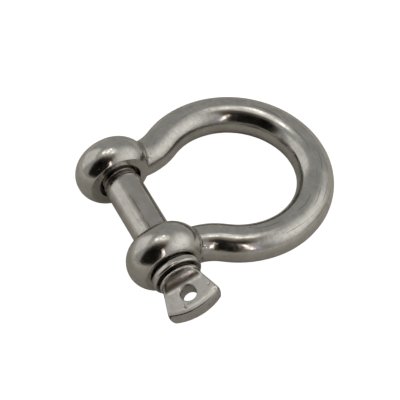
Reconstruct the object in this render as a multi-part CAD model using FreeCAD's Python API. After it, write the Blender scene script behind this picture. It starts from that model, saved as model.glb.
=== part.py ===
import FreeCAD, Part
import math
import os

from FreeCAD import Vector

# Bow shackle, nominal size 10 mm. The origin is the middle of the jaw on the pin's axis:
# +X along the pin towards its head, +Y from the pin to the crown of the bow, +Z square to the bow.
# All lengths are millimetres.

# Bow: a round bar bent to a bow, with a ball-like eye at each end.
BAR_D = 10.0            # bar in the legs
CROWN_D = 10.4          # the bar is a little thicker at the crown
EYE_X = 16.0            # middle of an eye's ball
EYE_R = 10.6            # at the eye's fattest section
EYE_PROFILE_R = 6.33    # radius of the ball's rounding
EYE_HALF = 5.5          # half the ball's width before it is spot-faced
JAW_GAP = 22.6          # between the two spot-faced inner sides
EYE_OUTER_X = 21.05     # spot-faced outer side
INNER_FACING_R = 12.0   # the facing just reaches the foot of each leg
OUTER_FACING_R = 8.6
EYE_DROP = 0.3          # the ball's centre lies this far beyond the hole's, away from the crown
BOW_R = 22.8            # centreline of the big arc
BOW_CENTRE_Y = 28.9     # the big arc's centre
WAIST_R = 15.3          # centreline of the inward bend between leg and big arc
LEG_OFFSET = 0.2        # leg's centreline beyond the middle of its eye
LEG_BLEND_R = 0.8       # fillet where a leg leaves its eye
PLAIN_HOLE_R = 5.45     # hole in the eye under the pin's head
PLAIN_HOLE_CHAMFER = 0.5
COUNTERBORE_R = 5.95    # mouth of the tapped hole, jaw side
COUNTERBORE_DEPTH = 1.2
TAPPED_EXIT_R = 5.5     # chamfer at the tapped hole's outer end
TAPPED_EXIT_DEPTH = 0.6

# Thread: metric coarse form of 10 mm, with play between pin and eye.
PITCH = 1.5
PIN_CREST_R = 4.9
PIN_ROOT_R = 4.0
HOLE_CREST_R = 4.2
HOLE_ROOT_R = 5.08
CREST_HALF_WIDTH = 0.10     # half the flat on top of the pin's ridge
FLANK_PLAY = 0.115          # gap beside the ridge, along the axis
FLANK_SLOPE = math.tan(math.radians(30.0))
ROOT_OVERRUN = 0.2          # ridge and groove profiles run on past their root by this much

# Screw pin: shank, collar, neck and flattened head with an eye.
SHANK_R = 5.15
SHANK_END_X = -9.8          # shoulder beside the tapped eye
SHANK_END_CHAMFER = 0.15
RELIEF_WIDTH = 0.3          # groove between the shoulder and the thread
PIN_TIP_X = -21.6
TIP_CHAMFER = 1.0
COLLAR_GAP = 0.5            # the pin rests backed off its seat by this much
COLLAR_R = 6.85
COLLAR_THICKNESS = 2.0
COLLAR_RIM_R = 0.55
COLLAR_BORE_R = 4.4
COLLAR_PLAY = 0.03          # between the collar and the pin, round and beside it
NECK_R = 5.8
NECK_GROOVE_R = 5.0
NECK_GROOVE_WIDTH = 0.8     # beside the collar
NECK_LENGTH = 1.8           # with its groove
NECK_RIM_R = 0.35
HEAD_LENGTH = 10.2          # from the neck to the top of the end arc
HEAD_END_HALF_WIDTH = 7.8   # half the width at the end corners
HEAD_END_BULGE = 2.2        # height of the end arc above its corners
HEAD_CORNER_R = 1.6
HEAD_THICKNESS = 4.65
HEAD_SCOOP_R = 3.3          # hollow that runs from the neck down to each flat
HEAD_SCOOP_START = 1.3      # beyond the collar
HEAD_TURN_DEG = 18.3        # the head's flats from the plane of the bow, about the pin's axis
HEAD_EDGE_R = 0.4           # soft edge round each flat of the head
HEAD_HOLE_R = 2.12
HEAD_HOLE_X = 4.9           # the hole's centre from the end of the neck
HEAD_HOLE_RIM_R = 0.3

# Worked out from the dimensions above.
EYE_INNER_X = JAW_GAP / 2
EYE_FACE_R = EYE_R - EYE_PROFILE_R + math.sqrt(EYE_PROFILE_R ** 2 - EYE_HALF ** 2)
LEG_X = EYE_X + LEG_OFFSET
COLLAR_X = EYE_OUTER_X + COLLAR_GAP
NECK_X = COLLAR_X + COLLAR_THICKNESS
HEAD_X = NECK_X + NECK_LENGTH
HEAD_END_X = HEAD_X + HEAD_LENGTH
FLAT_Z = HEAD_THICKNESS / 2
THREAD_START_X = SHANK_END_X - RELIEF_WIDTH

HELIX_FROM_X = -EYE_OUTER_X - PITCH
HELIX_TO_X = -EYE_INNER_X + PITCH

ORIGIN = Vector(0, 0, 0)
ALONG_PIN = Vector(1, 0, 0)
EDGE_TOL = 0.01             # picks an edge by where it lies
REACH = 40.0                # longer than any cut has to go


def revolved(corners, axis_y=0.0):
    """Solid of revolution about the pin's direction, from (x, radius) corners.

    A corner with a third value is only a point that an arc passes on its way to the next corner.
    """
    points = [Vector(corner[0], axis_y + corner[1], 0) for corner in corners]
    edges = []
    for i, corner in enumerate(corners):
        after = (i + 1) % len(corners)
        if len(corner) == 3:
            edges.append(Part.Arc(points[i - 1], points[i], points[after]).toShape())
        elif len(corners[after]) == 2:
            edges.append(Part.LineSegment(points[i], points[after]).toShape())
    return Part.Face(Part.Wire(edges)).revolve(Vector(0, axis_y, 0), ALONG_PIN, 360)


def bar_path():
    """Centreline of the bow, from one eye over the crown to the other."""
    waist_x = LEG_X + WAIST_R
    waist_y = BOW_CENTRE_Y - math.sqrt((BOW_R + WAIST_R) ** 2 - waist_x ** 2)
    waist_centre = Vector(waist_x, waist_y, 0)
    bow_centre = Vector(0, BOW_CENTRE_Y, 0)
    outwards = (waist_centre - bow_centre).normalize()
    join = bow_centre + outwards * BOW_R
    waist_middle = waist_centre - (outwards + ALONG_PIN).normalize() * WAIST_R
    foot = Vector(LEG_X, 0, 0)
    leg_top = Vector(LEG_X, waist_y, 0)
    crown = bow_centre + Vector(0, BOW_R, 0)

    def other_side(point):
        return Vector(-point.x, point.y, point.z)

    return Part.Wire([
        Part.LineSegment(foot, leg_top).toShape(),
        Part.Arc(leg_top, waist_middle, join).toShape(),
        Part.Arc(join, crown, other_side(join)).toShape(),
        Part.Arc(other_side(join), other_side(waist_middle), other_side(leg_top)).toShape(),
        Part.LineSegment(other_side(leg_top), other_side(foot)).toShape(),
    ])


def bar():
    """The bent round bar, slightly thicker towards the crown."""
    sweep = Part.BRepOffsetAPI.MakePipeShell(bar_path())
    crown = Vector(0, BOW_CENTRE_Y + BOW_R, 0)
    stations = [
        (Vector(LEG_X, 0, 0), Vector(0, 1, 0), BAR_D),
        (crown, Vector(-1, 0, 0), CROWN_D),
        (Vector(-LEG_X, 0, 0), Vector(0, -1, 0), BAR_D),
    ]
    for centre, direction, diameter in stations:
        sweep.add(Part.Wire(Part.makeCircle(diameter / 2, centre, direction)))
    sweep.build()
    sweep.makeSolid()
    return sweep.shape()


def eye(side):
    """Ball-like eye, flat on both sides, on the side of the jaw that side (+1 or -1) says."""
    middle = side * EYE_X
    return revolved([
        (middle - EYE_HALF, 0),
        (middle - EYE_HALF, EYE_FACE_R),
        (middle, EYE_R, "arc"),
        (middle + EYE_HALF, EYE_FACE_R),
        (middle + EYE_HALF, 0),
    ], axis_y=-EYE_DROP)


def helical_ridge(x_from, x_to, root_r, crest_r, crest_half_width):
    """A right-hand thread form along X. Forms made with the same x_from share one helix."""
    root = root_r - ROOT_OVERRUN
    root_half_width = crest_half_width + (crest_r - root) * FLANK_SLOPE
    corners = [
        Vector(root, 0, -root_half_width),
        Vector(crest_r, 0, -crest_half_width),
        Vector(crest_r, 0, crest_half_width),
        Vector(root, 0, root_half_width),
    ]
    helix = Part.makeHelix(PITCH, x_to - x_from, root)
    form = helix.makePipeShell([Part.makePolygon(corners + corners[:1])], True, True)
    form.rotate(ORIGIN, Vector(1, 1, 1), 120)
    form.translate(Vector(x_from, 0, 0))
    return form


def tap():
    """What drilling and tapping remove from the threaded eye: the minor bore and its helical groove."""
    crest_half_width = (CREST_HALF_WIDTH + FLANK_PLAY) - (HOLE_ROOT_R - PIN_CREST_R) * FLANK_SLOPE
    groove = helical_ridge(HELIX_FROM_X, HELIX_TO_X, HOLE_CREST_R, HOLE_ROOT_R, crest_half_width)
    length = HELIX_TO_X - HELIX_FROM_X + 2 * PITCH
    start = Vector(HELIX_FROM_X - PITCH, 0, 0)
    return Part.makeCylinder(HOLE_CREST_R, length, start, ALONG_PIN).fuse(groove).Solids[0]


def pin_thread():
    """Ridge of the pin's thread, chamfered at the tip and run out beside the relief groove."""
    ridge = helical_ridge(HELIX_FROM_X, HELIX_TO_X, PIN_ROOT_R, PIN_CREST_R, CREST_HALF_WIDTH)
    height = PIN_CREST_R - PIN_ROOT_R
    tip_x = PIN_TIP_X + TIP_CHAMFER / 2
    envelope = revolved([
        (tip_x, 0),
        (tip_x, PIN_ROOT_R),
        (tip_x + height, PIN_CREST_R + ROOT_OVERRUN),
        (THREAD_START_X - height / 2, PIN_CREST_R + ROOT_OVERRUN),
        (THREAD_START_X, PIN_ROOT_R),
        (THREAD_START_X, 0),
    ])
    return ridge.common(envelope)


def bow():
    """Bar and eyes as one forging, then spot-faced, drilled and tapped."""
    forging = bar().fuse([eye(1), eye(-1)]).Solids[0]
    creases = [
        edge for edge in forging.Edges
        if edge.BoundBox.YMin > EYE_R / 2 and edge.BoundBox.YMax < EYE_R and edge.Length > EYE_HALF
    ]
    forging = forging.makeFillet(LEG_BLEND_R, creases)
    facing = Part.makeCylinder(INNER_FACING_R, JAW_GAP, Vector(-EYE_INNER_X, 0, 0), ALONG_PIN)
    right_facing = Part.makeCylinder(OUTER_FACING_R, REACH, Vector(EYE_OUTER_X, 0, 0), ALONG_PIN)
    left_facing = Part.makeCylinder(OUTER_FACING_R, REACH, Vector(-EYE_OUTER_X, 0, 0), -ALONG_PIN)

    plain_hole = revolved([
        (EYE_INNER_X - PLAIN_HOLE_CHAMFER, 0),
        (EYE_INNER_X - PLAIN_HOLE_CHAMFER, PLAIN_HOLE_R + 2 * PLAIN_HOLE_CHAMFER),
        (EYE_INNER_X + PLAIN_HOLE_CHAMFER, PLAIN_HOLE_R),
        (EYE_OUTER_X - PLAIN_HOLE_CHAMFER, PLAIN_HOLE_R),
        (EYE_OUTER_X + PLAIN_HOLE_CHAMFER, PLAIN_HOLE_R + 2 * PLAIN_HOLE_CHAMFER),
        (EYE_OUTER_X + PLAIN_HOLE_CHAMFER, 0),
    ])
    tapped_hole = revolved([
        (-EYE_INNER_X + PITCH, 0),
        (-EYE_INNER_X + PITCH, COUNTERBORE_R),
        (-EYE_INNER_X - COUNTERBORE_DEPTH, COUNTERBORE_R),
        (-EYE_INNER_X - COUNTERBORE_DEPTH, HOLE_ROOT_R),
        (-EYE_INNER_X - COUNTERBORE_DEPTH - (HOLE_ROOT_R - HOLE_CREST_R), HOLE_CREST_R),
        (-EYE_OUTER_X + TAPPED_EXIT_DEPTH + (HOLE_ROOT_R - HOLE_CREST_R), HOLE_CREST_R),
        (-EYE_OUTER_X + TAPPED_EXIT_DEPTH, HOLE_ROOT_R),
        (-EYE_OUTER_X, TAPPED_EXIT_R),
        (-EYE_OUTER_X - PITCH, TAPPED_EXIT_R),
        (-EYE_OUTER_X - PITCH, 0),
    ])
    return forging.cut([facing, right_facing, left_facing, plain_hole, tapped_hole]).cut(tap()).Solids[0]


def pin_blank():
    """The pin turned from tip to head, before its flats, hole and thread."""
    core_r = COLLAR_BORE_R - COLLAR_PLAY
    groove_from = COLLAR_X - COLLAR_PLAY
    groove_to = NECK_X + COLLAR_PLAY
    corner_x = HEAD_END_X - HEAD_END_BULGE
    shoulder_r = NECK_R - NECK_RIM_R
    end_r = (HEAD_END_HALF_WIDTH ** 2 + HEAD_END_BULGE ** 2) / (2 * HEAD_END_BULGE)
    middle_r = HEAD_END_HALF_WIDTH / 2
    middle_x = HEAD_END_X - end_r + math.sqrt(end_r ** 2 - middle_r ** 2)
    blank = revolved([
        (PIN_TIP_X, 0),
        (PIN_TIP_X, PIN_ROOT_R - TIP_CHAMFER / 2),
        (PIN_TIP_X + TIP_CHAMFER / 2, PIN_ROOT_R),
        (SHANK_END_X, PIN_ROOT_R),
        (SHANK_END_X, SHANK_R - SHANK_END_CHAMFER),
        (SHANK_END_X + SHANK_END_CHAMFER, SHANK_R),
        (groove_from, SHANK_R),
        (groove_from, core_r),
        (groove_to, core_r),
        (groove_to, NECK_GROOVE_R),
        (NECK_X + NECK_GROOVE_WIDTH, NECK_GROOVE_R),
        (NECK_X + NECK_GROOVE_WIDTH, NECK_R),
        (HEAD_X - NECK_RIM_R, NECK_R),
        (HEAD_X, shoulder_r),
        (corner_x, HEAD_END_HALF_WIDTH),
        (middle_x, middle_r, "arc"),
        (HEAD_END_X, 0),
    ])
    corner = [
        edge for edge in blank.Edges
        if abs(edge.BoundBox.XMin - corner_x) < EDGE_TOL and edge.BoundBox.XLength < EDGE_TOL
    ]
    return blank.makeFillet(HEAD_CORNER_R, corner)


def scoop():
    """What is cut away above one flat of the head: a hollow from the neck that runs out into the flat."""
    start_x = NECK_X + HEAD_SCOOP_START
    top_z = FLAT_Z + HEAD_SCOOP_R
    flat_start_x = start_x + HEAD_SCOOP_R
    fall = HEAD_SCOOP_R * (1 - math.sqrt(0.5))
    start = Vector(start_x, -REACH, top_z)
    flat_start = Vector(flat_start_x, -REACH, FLAT_Z)
    beyond = Vector(HEAD_END_X + REACH, -REACH, FLAT_Z)
    over_end = Vector(HEAD_END_X + REACH, -REACH, REACH)
    over_start = Vector(start_x, -REACH, REACH)
    edges = [
        Part.Arc(start, Vector(start_x + fall, -REACH, FLAT_Z + fall), flat_start).toShape(),
        Part.LineSegment(flat_start, beyond).toShape(),
        Part.LineSegment(beyond, over_end).toShape(),
        Part.LineSegment(over_end, over_start).toShape(),
        Part.LineSegment(over_start, start).toShape(),
    ]
    return Part.Face(Part.Wire(edges)).extrude(Vector(0, 2 * REACH, 0))


def screw_pin():
    """Shank, neck and flattened head with its eye, and the thread, in one piece."""
    above = scoop()
    below = above.copy()
    below.rotate(ORIGIN, ALONG_PIN, 180)
    pin = pin_blank().cut([above, below]).Solids[0]
    flat_edges = [
        edge for edge in pin.Edges
        if edge.CenterOfMass.x > HEAD_X and abs(abs(edge.CenterOfMass.z) - FLAT_Z) < EDGE_TOL
        and edge.BoundBox.XLength > HEAD_EDGE_R
    ]
    pin = pin.makeFillet(HEAD_EDGE_R, flat_edges)

    hole_x = HEAD_X + HEAD_HOLE_X
    pin = pin.cut(Part.makeCylinder(HEAD_HOLE_R, 2 * REACH, Vector(hole_x, 0, -REACH))).Solids[0]
    hole_rims = [
        edge for edge in pin.Edges
        if edge.BoundBox.ZLength < HEAD_THICKNESS / 2
        and all(abs(math.hypot(v.X - hole_x, v.Y) - HEAD_HOLE_R) < EDGE_TOL for v in edge.Vertexes)
    ]
    pin = pin.makeFillet(HEAD_HOLE_RIM_R, hole_rims)
    pin.rotate(ORIGIN, ALONG_PIN, HEAD_TURN_DEG)
    return pin.fuse(pin_thread()).Solids[0]


def pin_collar():
    """Round-rimmed ring between the shank and the neck."""
    rim_from = COLLAR_X + COLLAR_RIM_R
    rim_to = NECK_X - COLLAR_RIM_R
    edge_r = COLLAR_R - COLLAR_RIM_R
    rim_diagonal = COLLAR_RIM_R * math.sqrt(0.5)
    return revolved([
        (COLLAR_X, COLLAR_BORE_R),
        (COLLAR_X, edge_r),
        (rim_from - rim_diagonal, edge_r + rim_diagonal, "arc"),
        (rim_from, COLLAR_R),
        (rim_to, COLLAR_R),
        (rim_to + rim_diagonal, edge_r + rim_diagonal, "arc"),
        (NECK_X, edge_r),
        (NECK_X, COLLAR_BORE_R),
    ])


os.makedirs("parts", exist_ok=True)
for build in (bow, screw_pin, pin_collar):
    build().exportStep(f"parts/{build.__name__}.step")
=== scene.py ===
import math

import bpy
import numpy as np
from mathutils import Matrix, Vector


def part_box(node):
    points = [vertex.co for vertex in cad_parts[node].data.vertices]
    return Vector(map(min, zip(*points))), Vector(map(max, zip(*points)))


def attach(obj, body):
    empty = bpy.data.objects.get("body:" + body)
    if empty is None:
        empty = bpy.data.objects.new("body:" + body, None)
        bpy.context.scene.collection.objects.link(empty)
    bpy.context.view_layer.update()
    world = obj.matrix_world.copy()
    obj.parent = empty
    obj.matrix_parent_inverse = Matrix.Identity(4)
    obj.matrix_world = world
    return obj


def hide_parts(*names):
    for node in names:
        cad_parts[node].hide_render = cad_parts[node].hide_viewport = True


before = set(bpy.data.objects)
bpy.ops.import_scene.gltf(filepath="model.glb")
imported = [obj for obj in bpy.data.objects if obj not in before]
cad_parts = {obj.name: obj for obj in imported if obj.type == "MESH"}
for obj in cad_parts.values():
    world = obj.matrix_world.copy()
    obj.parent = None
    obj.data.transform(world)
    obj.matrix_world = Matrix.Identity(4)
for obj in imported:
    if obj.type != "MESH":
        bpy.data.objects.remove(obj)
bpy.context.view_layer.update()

MM = 0.001


# ---------------------------------------------------------------- where things are

CROWN_D = 10.4 * MM                 # thickness of the bar at the crown
BOW_CENTRE_Y = 28.9 * MM            # the big arc of the bow
BOW_R = 22.8 * MM
HEAD_TURN = math.radians(18.3)      # the head's flats, about the pin's axis
HEAD_ACROSS = (0, math.cos(HEAD_TURN), math.sin(HEAD_TURN))
HEAD_FACING = (0, -math.sin(HEAD_TURN), math.cos(HEAD_TURN))
END_CENTRE_X = 20.62 * MM           # the arc at the head's end
END_R = 14.93 * MM


def contact_tilt():
    """Angle by which the shackle leans forward when it lies on a table, on its eyes and its crown."""
    low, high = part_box("bow")
    eye_r = -low.z
    bar_r = CROWN_D / 2
    return math.asin((eye_r - bar_r) / (high.y - bar_r))


TILT = contact_tilt()
TABLE_UP = Vector((0, -math.sin(TILT), math.cos(TILT)))


# ---------------------------------------------------------------- camera

LOOK_AT = Vector((3.4, 16.8, 0.0)) * MM
DISTANCE = 352.8 * MM
AZIMUTH = -57.76            # from +Y, in the frame's own horizon
ELEVATION = 51.80
ROLL = 5.96
LENS = 117.0


def make_camera():
    data = bpy.data.cameras.new("camera")
    data.lens = LENS
    data.sensor_width = 36.0
    camera = bpy.data.objects.new("camera", data)
    bpy.context.scene.collection.objects.link(camera)
    azimuth, elevation = math.radians(AZIMUTH), math.radians(ELEVATION)
    forward = Vector((
        math.sin(azimuth) * math.cos(elevation),
        math.cos(azimuth) * math.cos(elevation),
        -math.sin(elevation),
    ))
    camera.rotation_mode = "QUATERNION"
    camera.location = LOOK_AT - forward * DISTANCE
    level = forward.to_track_quat("-Z", "Y")
    roll = Matrix.Rotation(math.radians(ROLL), 4, "Z").to_quaternion()
    camera.rotation_quaternion = level @ roll
    data.clip_start = 0.01
    data.clip_end = 100
    bpy.context.scene.camera = camera


make_camera()


# ---------------------------------------------------------------- node helper

class Net:
    """Short names for building a shader's nodes. Every call returns the new node's output socket."""

    def __init__(self, tree):
        self.tree = tree

    def node(self, kind, **settings):
        made = self.tree.nodes.new(kind)
        for name, value in settings.items():
            setattr(made, name, value)
        return made

    def feed(self, socket, value):
        if isinstance(value, bpy.types.NodeSocket):
            self.tree.links.new(value, socket)
        else:
            socket.default_value = value

    def math(self, operation, *values):
        made = self.node("ShaderNodeMath", operation=operation)
        for socket, value in zip(made.inputs, values):
            self.feed(socket, value)
        return made.outputs[0]

    def product(self, *values):
        result = values[0]
        for value in values[1:]:
            result = self.math("MULTIPLY", result, value)
        return result

    def greatest(self, *values):
        result = values[0]
        for value in values[1:]:
            result = self.math("MAXIMUM", result, value)
        return result

    def dot(self, vector, axis):
        made = self.node("ShaderNodeVectorMath", operation="DOT_PRODUCT")
        self.feed(made.inputs[0], vector)
        self.feed(made.inputs[1], axis)
        return made.outputs["Value"]

    def ramp(self, value, low, high, start=0.0, end=1.0):
        """A smooth step from start at low to end at high."""
        made = self.node("ShaderNodeMapRange", interpolation_type="SMOOTHSTEP")
        for name, given in (
            ("Value", value), ("From Min", low), ("From Max", high), ("To Min", start), ("To Max", end),
        ):
            self.feed(made.inputs[name], given)
        return made.outputs["Result"]

    def mix(self, factor, a, b, blend="MIX"):
        made = self.node("ShaderNodeMix", data_type="RGBA", blend_type=blend)
        self.feed(made.inputs["Factor"], factor)
        self.feed(made.inputs[6], a)
        self.feed(made.inputs[7], b)
        return made.outputs[2]


# ---------------------------------------------------------------- pieces

ASKEW = np.array(Matrix.Rotation(0.9, 3, Vector((1, 2, 3))))
LATTICE_PRIMES = (73856093, 19349663, 83492791)
LATTICE_SLOTS = 4096


def random_field(points, size, seed):
    """A smooth random number between -1 and 1 for every point, with features about size across.

    Its lattice lies askew to the part, so that features never line up along a face.
    """
    table = np.random.default_rng(seed).uniform(-1, 1, LATTICE_SLOTS)
    cell = points @ ASKEW / size
    base = np.floor(cell).astype(np.int64)
    part = cell - base
    part = part * part * (3 - 2 * part)
    total = np.zeros(len(points))
    for corner in np.ndindex(2, 2, 2):
        spread = (base + corner) * LATTICE_PRIMES
        slot = (spread[:, 0] ^ spread[:, 1] ^ spread[:, 2]) & (LATTICE_SLOTS - 1)
        share = np.where(corner, part, 1 - part).prod(axis=1)
        total += table[slot] * share
    return total


class Skin:
    """A fine, even quad mesh of a CAD node's own shape, smooth enough for polished metal to reflect in."""

    def __init__(self, node, voxel, passes):
        self.voxel = voxel
        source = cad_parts[node]
        self.piece = bpy.data.objects.new(node + "_finish", source.data.copy())
        bpy.context.scene.collection.objects.link(self.piece)
        remesh = self.piece.modifiers.new("remesh", "REMESH")
        remesh.mode = "VOXEL"
        remesh.voxel_size = voxel
        smooth = self.piece.modifiers.new("smooth", "SMOOTH")
        smooth.factor = 0.5
        smooth.iterations = passes
        bpy.context.view_layer.update()
        graph = bpy.context.evaluated_depsgraph_get()
        self.mesh = bpy.data.meshes.new_from_object(self.piece.evaluated_get(graph), depsgraph=graph)
        self.piece.data = self.mesh
        self.piece.modifiers.clear()
        self.mesh.polygons.foreach_set("use_smooth", np.ones(len(self.mesh.polygons), bool))
        self.count = len(self.mesh.vertices)
        pairs = np.empty(len(self.mesh.edges) * 2, np.int32)
        self.mesh.edges.foreach_get("vertices", pairs)
        first, second = pairs.reshape(-1, 2).T
        self.here = np.concatenate((first, second))
        self.there = np.concatenate((second, first))
        self.degree = np.bincount(self.here, minlength=self.count).clip(1)

    def points(self):
        flat = np.empty(self.count * 3, np.float32)
        self.mesh.vertices.foreach_get("co", flat)
        return flat.reshape(-1, 3).astype(float)

    def normals(self):
        flat = np.empty(self.count * 3, np.float32)
        self.mesh.vertex_normals.foreach_get("vector", flat)
        return flat.reshape(-1, 3).astype(float)

    def averaged(self, values, passes):
        """Each vertex takes the mean of its neighbours, as many times as asked."""
        for _ in range(passes):
            values = np.bincount(self.here, values[self.there], self.count) / self.degree
        return values

    def hollowness(self, passes):
        """Curvature in 1/mm: positive in creases, negative on edges."""
        points = self.points()
        means = np.stack([self.averaged(points[:, axis], 1) for axis in range(3)], axis=1)
        bend = ((means - points) * self.normals()).sum(axis=1)
        return self.averaged(bend, passes) * 4 / self.voxel ** 2 * MM

    def push(self, distance):
        """Moves every vertex along its normal."""
        moved = self.points() + self.normals() * distance[:, None]
        self.mesh.vertices.foreach_set("co", moved.astype(np.float32).ravel())
        self.mesh.update()

    def relax(self, share, passes):
        """Evens out the mesh where share is 1, and leaves it alone where share is 0."""
        points = self.points()
        for _ in range(passes):
            means = np.stack([self.averaged(points[:, axis], 1) for axis in range(3)], axis=1)
            points += (means - points) * share[:, None] * 0.5
        self.mesh.vertices.foreach_set("co", points.astype(np.float32).ravel())
        self.mesh.update()

    def note(self, name, values):
        """Stores one number per vertex for the shader to read."""
        layer = self.mesh.attributes.new(name, "FLOAT", "POINT")
        layer.data.foreach_set("value", values.astype(np.float32))

    def note_bends(self, hollow):
        """Where the hollows get brown, partly grime and partly painted shade, and where the edges get
        lighter, partly wear and partly a painted highlight.
        """
        self.note("hollow", smooth_step(hollow, 0.1, 1.0))
        self.note("edge", smooth_step(-hollow, 0.8, 2.5))


def smooth_step(values, low, high):
    part = ((values - low) / (high - low)).clip(0, 1)
    return part * part * (3 - 2 * part)


def bow_skin():
    """The forging: slightly wavy from tumbling, with a pitted crease where each leg leaves its eye."""
    skin = Skin("bow", voxel=0.17 * MM, passes=6)
    points = skin.points()
    hollow = skin.hollowness(4)
    from_middle = np.abs(points[:, 0]) / MM
    from_axis = np.hypot(points[:, 1], points[:, 2]) / MM
    leg_foot = smooth_step(points[:, 1] / MM, 5.0, 6.5) * smooth_step(from_middle, 10.2, 11.0)
    crease = smooth_step(hollow, 0.15, 0.8) * leg_foot
    near_crease = smooth_step(skin.averaged(crease, 80), 0.02, 0.15)
    ragged = random_field(points, 0.45 * MM, seed=3) + 0.6 * random_field(points, 1.3 * MM, seed=7)
    pits = smooth_step(ragged, 0.35, 0.65) * near_crease
    wave = random_field(points, 5.0 * MM, seed=1) + 0.25 * random_field(points, 2.2 * MM, seed=2)
    tumbled = 0.022 * (1.25 + wave) * smooth_step(from_axis, 6.2, 8.0)
    skin.push(-(tumbled + 0.12 * crease + 0.08 * pits) * MM)
    skin.note_bends(hollow)
    skin.note("crease", np.maximum(0.8 * crease, pits))
    return skin.piece


def pin_skin():
    """Drawn shank, cut thread, and a head that was stamped flat, with dents and rolled-off flats."""
    skin = Skin("screw_pin", voxel=0.12 * MM, passes=3)
    points = skin.points()
    along = points[:, 0] / MM
    from_axis = np.hypot(points[:, 1], points[:, 2]) / MM
    scoops = smooth_step(along, 24.9, 25.1) * smooth_step(-along, -31, -28)
    skin.relax(scoops * smooth_step(-from_axis, -5.5, -5.2), 24)
    points = skin.points()
    hollow = skin.hollowness(3)
    head = smooth_step(points[:, 0] / MM, 26.0, 27.5)
    dents = smooth_step(random_field(points, 0.55 * MM, seed=5), 0.35, 0.60)
    dents *= smooth_step(random_field(points, 2.5 * MM, seed=6), 0.0, 0.35)
    wave = random_field(points, 3.0 * MM, seed=4) * 0.5 + 0.5
    from_centre = np.hypot(points[:, 0] - END_CENTRE_X, points @ HEAD_ACROSS) / MM
    on_flats = smooth_step(np.abs(skin.normals() @ HEAD_FACING), 0.8, 0.95)
    rolled = smooth_step(from_centre, 12.4, 14.8) ** 2 * on_flats
    skin.push(-(0.06 * dents + 0.03 * wave + 0.24 * rolled) * head * MM)
    skin.note_bends(hollow)
    skin.note("crease", dents * head)
    return skin.piece


def collar_skin():
    """Turned ring."""
    skin = Skin("pin_collar", voxel=0.10 * MM, passes=3)
    hollow = skin.hollowness(3)
    skin.note_bends(hollow)
    skin.note("crease", np.zeros(skin.count))
    return skin.piece


bow = bow_skin()
pin = pin_skin()
collar = collar_skin()
for piece, node, body in ((bow, "bow", "bow"), (pin, "screw_pin", "pin"), (collar, "pin_collar", "collar")):
    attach(piece, body)
    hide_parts(node)


# ---------------------------------------------------------------- steel

def noise(net, place, scale, detail=2.0, roughness=0.5, stretch=(1, 1, 1)):
    """Random grey over the object; scale is how many features there are in a metre."""
    squeezed = net.node("ShaderNodeVectorMath", operation="MULTIPLY")
    net.feed(squeezed.inputs[0], place)
    net.feed(squeezed.inputs[1], stretch)
    made = net.node("ShaderNodeTexNoise")
    net.feed(made.inputs["Vector"], squeezed.outputs[0])
    net.feed(made.inputs["Scale"], scale)
    net.feed(made.inputs["Detail"], detail)
    net.feed(made.inputs["Roughness"], roughness)
    return made.outputs["Fac"]


def noted(net, name):
    """A number that the skin stored at its vertices."""
    return net.node("ShaderNodeAttribute", attribute_name=name).outputs["Fac"]


def round_the_bow(net, place):
    """Coordinates that follow the big arc: along it, out from its centre, and above its plane."""
    split = net.node("ShaderNodeSeparateXYZ")
    net.feed(split.inputs[0], place)
    x, y, z = split.outputs
    y = net.math("SUBTRACT", y, BOW_CENTRE_Y)
    out = net.math("SQRT", net.math("MULTIPLY_ADD", x, x, net.product(y, y)))
    along = net.product(net.math("ARCTAN2", x, y), BOW_R)
    joined = net.node("ShaderNodeCombineXYZ")
    for socket, value in zip(joined.inputs, (along, out, z)):
        net.feed(socket, value)
    return joined.outputs[0]


SMUDGE = (0.36, 0.35, 0.325, 1)
FINE_LINE = (0.80, 0.79, 0.76, 1)
# Brown serves grime and wear, and also painted shade and painted reflection.
BROWN = (0.115, 0.085, 0.062, 1)
PIT = (0.13, 0.11, 0.085, 1)
# Lighter colour on the edges: wear and a painted highlight.
EDGE_WEAR_AND_HIGHLIGHT = (0.74, 0.73, 0.70, 1)
# Near-black painted shade for holes, grooves and gaps between parts.
SHADE_BLACK = (0.022, 0.018, 0.014, 1)


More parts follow.
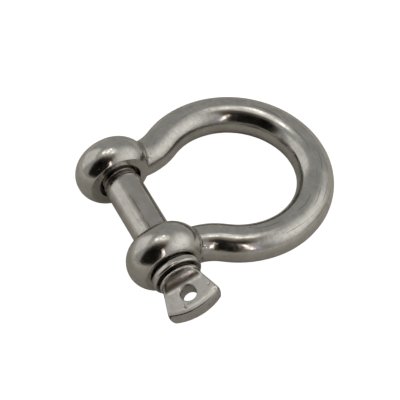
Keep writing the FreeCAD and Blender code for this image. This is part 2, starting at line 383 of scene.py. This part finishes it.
def steel(name, light, dark, grain_place, grain_stretch, grain_depth, marks_and_shade):
    """Polished stainless steel: cloudy polish, fine lines one way, small pits, brown in the hollows (partly
    grime, partly painted shade), edges lightened (wear and a painted highlight).

    grain_place gives the coordinates that the lines follow, and the last argument says how brown, how
    black, how marked and how dull each place is; its black and much of its brown are painted shade and
    painted reflection.
    """
    material = bpy.data.materials.new(name)
    material.use_nodes = True
    net = Net(material.node_tree)
    surface = material.node_tree.nodes["Principled BSDF"]
    place = net.node("ShaderNodeTexCoord").outputs["Object"]
    grain_at = grain_place(net, place)
    brown, black, marks, dull = marks_and_shade(net, place)

    cloud = noise(net, place, 220, 3)
    smudge = noise(net, place, 900, 2)
    lines = noise(net, grain_at, 5200, 3, 0.65, grain_stretch)
    hairs = net.ramp(noise(net, grain_at, 2600, 1, 0.5, grain_stretch), 0.66, 0.76)
    specks = net.ramp(noise(net, place, 2600, 0), 0.74, 0.80)
    pits = net.product(specks, net.ramp(noise(net, place, 160, 1), 0.46, 0.60))

    colour = net.mix(net.ramp(cloud, 0.3, 0.7), dark, light)
    colour = net.mix(net.ramp(smudge, 0.42, 0.66, 0.0, 0.22), colour, SMUDGE)
    colour = net.mix(net.ramp(lines, 0.45, 0.7, 0.0, 0.16), colour, FINE_LINE)
    # Brown in the hollows: partly grime, partly painted shade in the creases.
    brown = net.greatest(net.product(noted(net, "hollow"), 0.85), brown)
    colour = net.mix(brown, colour, BROWN)
    spots = net.greatest(pits, noted(net, "crease"), marks, net.product(hairs, 0.5))
    colour = net.mix(net.product(spots, 0.6), colour, PIT)
    # Lighter edges: partly wear, partly a painted highlight.
    colour = net.mix(net.product(noted(net, "edge"), 0.5), colour, EDGE_WEAR_AND_HIGHLIGHT)
    # Near-black painted shade in holes, grooves and gaps between parts.
    colour = net.mix(black, colour, SHADE_BLACK)
    net.feed(surface.inputs["Base Color"], colour)
    surface.inputs["Metallic"].default_value = 1.0

    gloss = net.math("MULTIPLY_ADD", cloud, 0.10, 0.10)
    gloss = net.math("MULTIPLY_ADD", net.ramp(smudge, 0.4, 0.7), 0.05, gloss)
    gloss = net.math("MULTIPLY_ADD", brown, 0.20, gloss)
    gloss = net.math("MULTIPLY_ADD", dull, 0.14, gloss)
    net.feed(surface.inputs["Roughness"], gloss)

    relief = net.product(lines, 0.35)
    relief = net.math("MULTIPLY_ADD", hairs, -0.5, relief)
    relief = net.math("MULTIPLY_ADD", net.greatest(pits, marks), -2.5, relief)
    bump = net.node("ShaderNodeBump")
    net.feed(bump.inputs["Height"], relief)
    bump.inputs["Strength"].default_value = 1.0
    bump.inputs["Distance"].default_value = grain_depth
    net.feed(surface.inputs["Normal"], bump.outputs["Normal"])
    return material


def as_it_is(net, place):
    """Coordinates that follow the pin, which lies along X already."""
    return place


def between(net, place, axis, low, high, soft):
    """1 where the coordinate along an axis lies between two values."""
    value = net.dot(place, axis)
    rise = net.ramp(value, low - soft, low + soft)
    fall = net.ramp(value, high - soft, high + soft, 1.0, 0.0)
    return net.product(rise, fall)


def from_pin_axis(net, place):
    """Distance from the pin's axis."""
    flat = net.node("ShaderNodeVectorMath", operation="MULTIPLY")
    net.feed(flat.inputs[0], place)
    net.feed(flat.inputs[1], (0, 1, 1))
    length = net.node("ShaderNodeVectorMath", operation="LENGTH")
    net.feed(length.inputs[0], flat.outputs[0])
    return length.outputs["Value"]


def bow_lines_and_shade(net, place):
    """Painted black shade inside both holes, and faint grinding lines that run round the bow, worn away in
    places.
    """
    in_hole = net.ramp(from_pin_axis(net, place), 6.0 * MM, 6.25 * MM, 0.9, 0.0)
    split = net.node("ShaderNodeSeparateXYZ")
    net.feed(split.inputs[0], round_the_bow(net, place))
    out, above = split.outputs[1:]
    turned = net.math("ARCTAN2", above, net.math("SUBTRACT", out, BOW_R))
    turned = net.math("MULTIPLY_ADD", noise(net, place, 60, 1), 0.5, turned)
    lines = []
    for number, degrees in enumerate((38, 55, 74, 98)):
        off = net.math("ABSOLUTE", net.math("SUBTRACT", turned, math.radians(degrees) + 0.25))
        patch = net.ramp(noise(net, place, 70 + 17 * number, 1), 0.48, 0.60)
        lines.append(net.product(net.ramp(off, 0.010, 0.045, 1.0, 0.0), patch))
    on_arc = net.ramp(net.dot(place, (0, 1, 0)), 20 * MM, 26 * MM)
    marks = net.product(net.greatest(*lines), on_arc, 0.75)
    return 0.0, in_hole, marks, 0.0


PIN_AXIS = (1, 0, 0)
STRIPE_TURN = math.radians(22.8)
STRIPE_SIDE = (0, math.cos(STRIPE_TURN), math.sin(STRIPE_TURN))


def head_end_reflection_line(net, place):
    """A painted dark reflection line just inside the arc at the head's end, fainter on one side."""
    across = net.dot(place, HEAD_ACROSS)
    arm = net.math("SUBTRACT", net.dot(place, PIN_AXIS), END_CENTRE_X)
    from_centre = net.math("SQRT", net.math("MULTIPLY_ADD", arm, arm, net.product(across, across)))
    off = net.math("ABSOLUTE", net.math("SUBTRACT", from_centre, END_R - 0.42 * MM))
    line = net.ramp(off, 0.10 * MM, 0.24 * MM, 0.9, 0.0)
    fading = net.ramp(across, 0.0, 6 * MM, 1.0, 0.3)
    at_end = net.ramp(arm, 8 * MM, 9 * MM)
    return net.product(line, fading, at_end)


def shank_reflection_line(net, place):
    """A painted dark reflection line that wanders along the shank, with gaps."""
    wander = net.math("MULTIPLY_ADD", noise(net, place, 300, 2), 0.8 * MM, -0.9 * MM)
    off = net.math("ABSOLUTE", net.math("ADD", net.dot(place, STRIPE_SIDE), wander))
    core = net.ramp(off, 0.05 * MM, 0.30 * MM, 0.5, 0.0)
    halo = net.ramp(off, 0.3 * MM, 1.1 * MM, 0.3, 0.0)
    on_shank = between(net, place, PIN_AXIS, -9.5 * MM, 11.5 * MM, 0.5 * MM)
    gaps = net.ramp(noise(net, place, 900, 2, 0.6, (0.25, 1, 1)), 0.25, 0.6)
    return net.product(net.math("ADD", core, halo), on_shank, gaps)


def pin_marks_and_shade(net, place):
    """Brown painted reflection in the scoops, darker on one side; brown and black painted shade in the
    groove and thread; painted dark reflection lines on the shank and along the head's end; and a worn ring
    by the eye.
    """
    groove = between(net, place, PIN_AXIS, 23.4 * MM, 24.3 * MM, 0.1 * MM)
    thread = between(net, place, PIN_AXIS, -23 * MM, -9.85 * MM, 0.1 * MM)
    # Black painted shade in the groove and thread, and the painted dark line at the head's end.
    black = net.greatest(net.product(groove, 0.25), net.product(thread, 0.1), head_end_reflection_line(net, place))

    # Brown painted reflection in the scoops by the neck, darker towards one side.
    cut_in = net.ramp(from_pin_axis(net, place), 5.45 * MM, 5.7 * MM, 1.0, 0.0)
    by_the_neck = between(net, place, PIN_AXIS, 24.8 * MM, 27.2 * MM, 0.5 * MM)
    shaded_side = net.ramp(net.dot(place, HEAD_ACROSS), -2 * MM, 4.5 * MM, 0.8, 0.12)
    scoop = net.product(cut_in, by_the_neck, shaded_side)
    by_the_eye = between(net, place, PIN_AXIS, 8.5 * MM, 9.1 * MM, 0.4 * MM)
    worn = net.product(by_the_eye, net.ramp(noise(net, place, 260, 1), 0.45, 0.6, 0.0, 0.35))
    # Brown painted shade in the thread and the groove.
    painted_shade = net.product(net.greatest(thread, groove), 0.6)
    brown = net.greatest(scoop, shank_reflection_line(net, place), worn, painted_shade)

    dull_head = net.ramp(net.dot(place, PIN_AXIS), 25.5 * MM, 27.0 * MM)
    return brown, black, 0.0, dull_head


def collar_shade(net, place):
    """Painted shade on the side that faces the head, below its rim, in brown and in black."""
    front = net.ramp(net.dot(place, PIN_AXIS), 23.35 * MM, 23.5 * MM)
    inner = net.ramp(from_pin_axis(net, place), 6.2 * MM, 6.5 * MM, 1.0, 0.0)
    painted_shade = net.product(front, inner)
    return net.product(painted_shade, 0.6), net.product(painted_shade, 0.35), 0.0, 0.0


def dress(piece, material):
    piece.data.materials.clear()
    piece.data.materials.append(material)


dress(bow, steel(
    "bow_steel", light=(0.60, 0.59, 0.555, 1), dark=(0.49, 0.48, 0.45, 1),
    grain_place=round_the_bow, grain_stretch=(0.06, 1, 1), grain_depth=0.004 * MM, marks_and_shade=bow_lines_and_shade,
))
dress(pin, steel(
    "pin_steel", light=(0.60, 0.585, 0.55, 1), dark=(0.50, 0.485, 0.455, 1),
    grain_place=as_it_is, grain_stretch=(0.04, 1, 1), grain_depth=0.004 * MM, marks_and_shade=pin_marks_and_shade,
))
dress(collar, steel(
    "collar_steel", light=(0.60, 0.585, 0.55, 1), dark=(0.48, 0.465, 0.44, 1),
    grain_place=as_it_is, grain_stretch=(1, 0.3, 0.3), grain_depth=0.003 * MM, marks_and_shade=collar_shade,
))


# ---------------------------------------------------------------- studio: a white tent, open at the front

CAMERA_SIDE = bpy.context.scene.camera.location - LOOK_AT
FRONT = (CAMERA_SIDE - TABLE_UP * CAMERA_SIDE.dot(TABLE_UP)).normalized()
RIGHT = TABLE_UP.cross(FRONT)


def towards(azimuth, elevation):
    """Direction in the studio. Azimuth 0 is the camera's side and 90 is on its right."""
    a, e = math.radians(azimuth), math.radians(elevation)
    level = FRONT * math.cos(a) + RIGHT * math.sin(a)
    return level * math.cos(e) + TABLE_UP * math.sin(e)


def panel(net, ray, azimuth, elevation, half_width, half_height, soft, lean=0.0):
    """1 inside a far-off rectangle, 0 outside, with a soft edge. All sizes are in degrees."""
    middle = towards(azimuth, elevation)
    side = TABLE_UP.cross(middle).normalized()
    above = middle.cross(side)
    turn = math.radians(lean)
    side, above = (
        side * math.cos(turn) + above * math.sin(turn),
        above * math.cos(turn) - side * math.sin(turn),
    )
    ahead = net.greatest(net.dot(ray, middle), 0.001)
    within = []
    for axis, half in ((side, half_width), (above, half_height)):
        offset = net.math("ABSOLUTE", net.math("DIVIDE", net.dot(ray, axis), ahead))
        outer = math.tan(math.radians(half + soft / 2))
        inner = math.tan(math.radians(half - soft / 2))
        within.append(net.ramp(offset, inner, outer, 1.0, 0.0))
    return net.product(*within)


WALL = 0.37
BELOW_TABLE = 0.3

# Panels of light in the tent: azimuth, elevation, half width, half height, soft edge (degrees), strength.
PANELS = (
    (86, 29, 28, 22, 44, 0.72),     # right wall, lit from outside
    (-115, 20, 23, 30, 12, 0.45),   # left wall
    (172, 78, 19, 10, 12, 0.45),    # roof lamp's diffuser
    (160, 89, 26, 14, 26, 0.34),
)
# Gaps in the tent that show the dark room behind the camera: the same five, then lean (degrees), depth.
GAPS = (
    (-24, 31, 36, 28, 11, -7, 1.0),
    (-14, 62, 26, 13, 14, 0, 0.95),
    (0, 76, 24, 10, 14, 0, 0.6),
)
# Bare lamps: the same as a panel, then their colour. The last two are a strip lamp and its violet fringe.
LAMPS = (
    (112, 77, 2.2, 2.2, 2, 2.6, (1.0, 0.98, 0.94)),
    (168, 70, 2.2, 2.2, 2, 3.0, (1.0, 0.98, 0.94)),
    (-129, 71, 2.2, 2.2, 2, 3.8, (1.0, 0.98, 0.94)),
    (-172, 79, 2.2, 2.2, 2, 3.4, (1.0, 0.98, 0.94)),
    (19, 32, 1.2, 17.0, 1.2, 5.0, (1.0, 0.86, 0.76)),
    (24, 27, 1.6, 14.0, 3, 0.55, (0.45, 0.40, 1.0)),
)

TENT_TINT = (1, 0.985, 0.95, 1)
ROOM_TINT = (1, 0.84, 0.68, 1)
WHITE = (1, 1, 1, 1)


def make_world():
    """The tent as the metal sees it. The camera itself sees plain white."""
    world = bpy.data.worlds.new("studio")
    world.use_nodes = True
    net = Net(world.node_tree)
    ray = net.node("ShaderNodeTexCoord").outputs["Generated"]
    light = net.ramp(net.dot(ray, TABLE_UP), -0.05, 0.05, BELOW_TABLE, WALL)
    for azimuth, elevation, half_width, half_height, soft, strength in PANELS:
        inside = panel(net, ray, azimuth, elevation, half_width, half_height, soft)
        light = net.math("MULTIPLY_ADD", inside, strength, light)
    dark = 0.0
    for azimuth, elevation, half_width, half_height, soft, lean, depth in GAPS:
        inside = panel(net, ray, azimuth, elevation, half_width, half_height, soft, lean)
        dark = net.greatest(dark, inside)
        light = net.product(light, net.math("MULTIPLY_ADD", inside, -0.98 * depth, 1.0))
    colour = net.mix(1.0, net.mix(dark, TENT_TINT, ROOM_TINT), light, "MULTIPLY")
    for azimuth, elevation, half_width, half_height, soft, strength, tint in LAMPS:
        inside = panel(net, ray, azimuth, elevation, half_width, half_height, soft)
        glow = [part * strength for part in tint]
        colour = net.mix(inside, colour, (*glow, 1), "ADD")
    seen = net.node("ShaderNodeLightPath").outputs["Is Camera Ray"]
    background = world.node_tree.nodes["Background"]
    net.feed(background.inputs["Color"], net.mix(seen, colour, WHITE))
    bpy.context.scene.world = world


SHADED_PAPER = (0.72, 0.70, 0.655, 1)
OPEN_PAPER = (1.0, 0.98, 0.93, 1)
SEEN_PAPER = (0.3, 0.3, 0.3, 1)


def make_floor():
    """White paper on the table, darker in the strip under the shackle that its own shade falls on."""
    reach = 3.0
    mesh = bpy.data.meshes.new("floor")
    corners = [(-reach, -reach, 0), (reach, -reach, 0), (reach, reach, 0), (-reach, reach, 0)]
    mesh.from_pydata(corners, [], [(0, 1, 2, 3)])
    floor = bpy.data.objects.new("floor", mesh)
    bpy.context.scene.collection.objects.link(floor)
    floor.rotation_mode = "QUATERNION"
    floor.rotation_quaternion = TABLE_UP.to_track_quat("Z", "Y")
    floor.location = TABLE_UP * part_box("bow")[0].z

    paper = bpy.data.materials.new("paper")
    paper.use_nodes = True
    net = Net(paper.node_tree)
    surface = paper.node_tree.nodes["Principled BSDF"]
    surface.inputs["Roughness"].default_value = 1.0
    surface.inputs["Specular IOR Level"].default_value = 0.0
    seen = net.node("ShaderNodeLightPath").outputs["Is Camera Ray"]
    place = net.node("ShaderNodeTexCoord").outputs["Object"]
    across = net.math("ABSOLUTE", net.dot(place, floor.rotation_quaternion.inverted() @ RIGHT))
    shade = net.mix(net.ramp(across, 20 * MM, 100 * MM), SHADED_PAPER, OPEN_PAPER)
    net.feed(surface.inputs["Base Color"], net.mix(seen, shade, SEEN_PAPER))
    surface.inputs["Emission Color"].default_value = WHITE
    net.feed(surface.inputs["Emission Strength"], seen)
    mesh.materials.append(paper)


make_world()
make_floor()
bpy.context.scene.view_settings.view_transform = "Standard"
